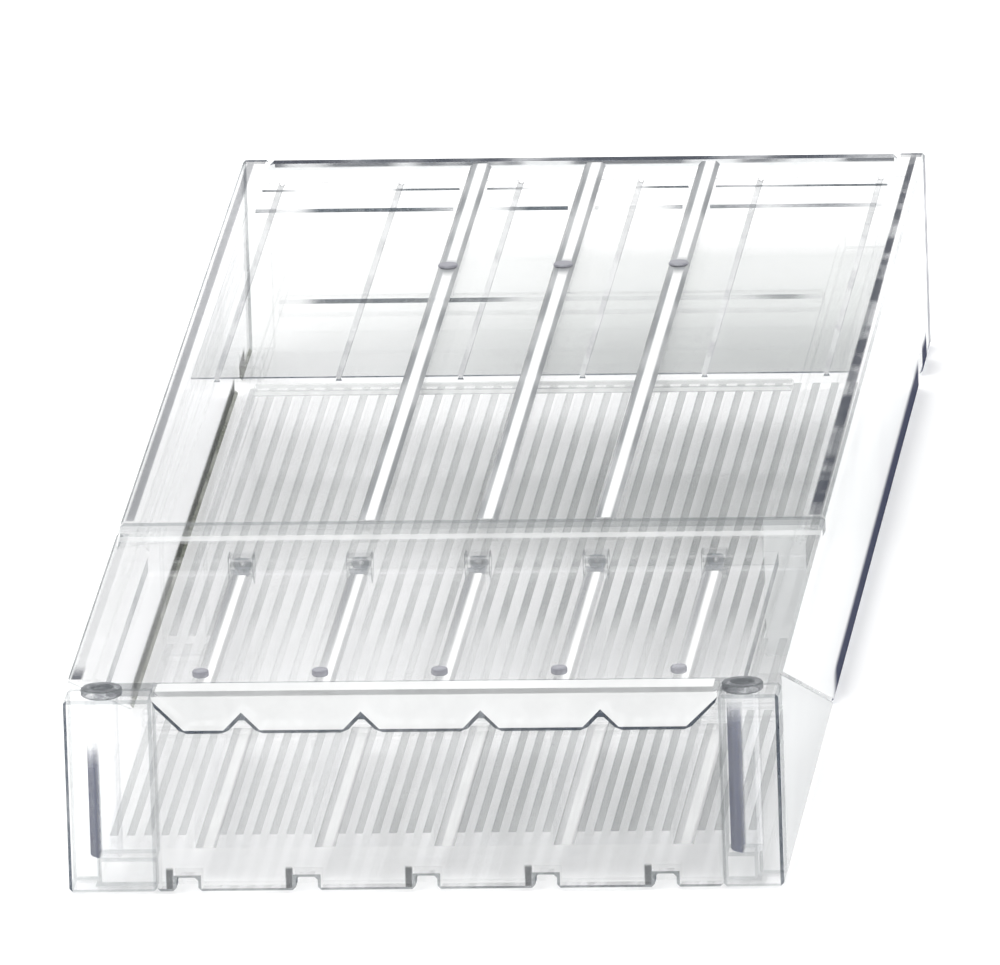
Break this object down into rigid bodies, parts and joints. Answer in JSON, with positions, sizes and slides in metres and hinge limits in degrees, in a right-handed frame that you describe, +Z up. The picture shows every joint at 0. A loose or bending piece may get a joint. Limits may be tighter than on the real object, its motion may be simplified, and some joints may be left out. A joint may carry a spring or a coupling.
{
  "type": "hemocytometer",
  "caption": "Clear slide-format counting chamber with dividers, a ribbed counting plate, a hinged loading flap and a sliding cover.",
  "frame": {"origin": "middle of the underside, centred on the width and the length", "axes": "+X to the right across the width, +Y along the length away from the loading end, +Z up"},
  "size_m": [0.026, 0.076, 0.0076],
  "materials": {
    "clear_case": "polished clear",
    "ribbed_insert": "clear, finely ribbed",
    "clear_flap": "polished clear",
    "clear_cover": "polished clear",
    "pin_tinted": "blue-grey tinted, polished"
  },
  "bodies": {
    "chamber": {"base_plate": "clear_case", "rear_floor_strip": "clear_case", "left_side_wall": "clear_case", "right_side_wall": "clear_case", "rear_wall": "clear_case", "front_wall": "clear_case", "front_lip_rail": "clear_case", "left_corner_post": "clear_case", "right_corner_post": "clear_case", "left_front_gusset": "clear_case", "right_front_gusset": "clear_case", "lane_divider_1": "clear_case", "lane_divider_2": "clear_case", "lane_divider_3": "clear_case", "lane_divider_4": "clear_case", "lane_divider_5": "clear_case", "lane_sill": "clear_case", "front_crossbar": "clear_case", "rear_crossbar": "clear_case", "cover_support_rail": "clear_case", "guide_bar_1": "clear_case", "guide_bar_2": "clear_case", "guide_bar_3": "clear_case", "hinge_rod": "clear_case", "counting_plate": "ribbed_insert", "inlet_strips": "ribbed_insert", "left_cover_ledge": "ribbed_insert", "right_cover_ledge": "ribbed_insert", "left_corner_pin": "pin_tinted", "right_corner_pin": "pin_tinted", "guide_bar_studs": "pin_tinted"},
    "flap": {"loading_flap": "clear_flap", "flap_grip_studs": "ribbed_insert"},
    "cover": {"sliding_cover": "clear_cover", "cover_pull_bar": "ribbed_insert"}
  },
  "joints": [
    {"name": "flap_hinge", "type": "hinge", "parent": "chamber", "child": "flap", "pos_m": [0, -0.0182, 0.00675], "axis": [-1, 0, 0], "range_deg": [0, 110]},
    {"name": "cover_slide", "type": "slide", "parent": "chamber", "child": "cover", "axis": [0, -1, 0], "range_m": [0, 0.022]}
  ]
}
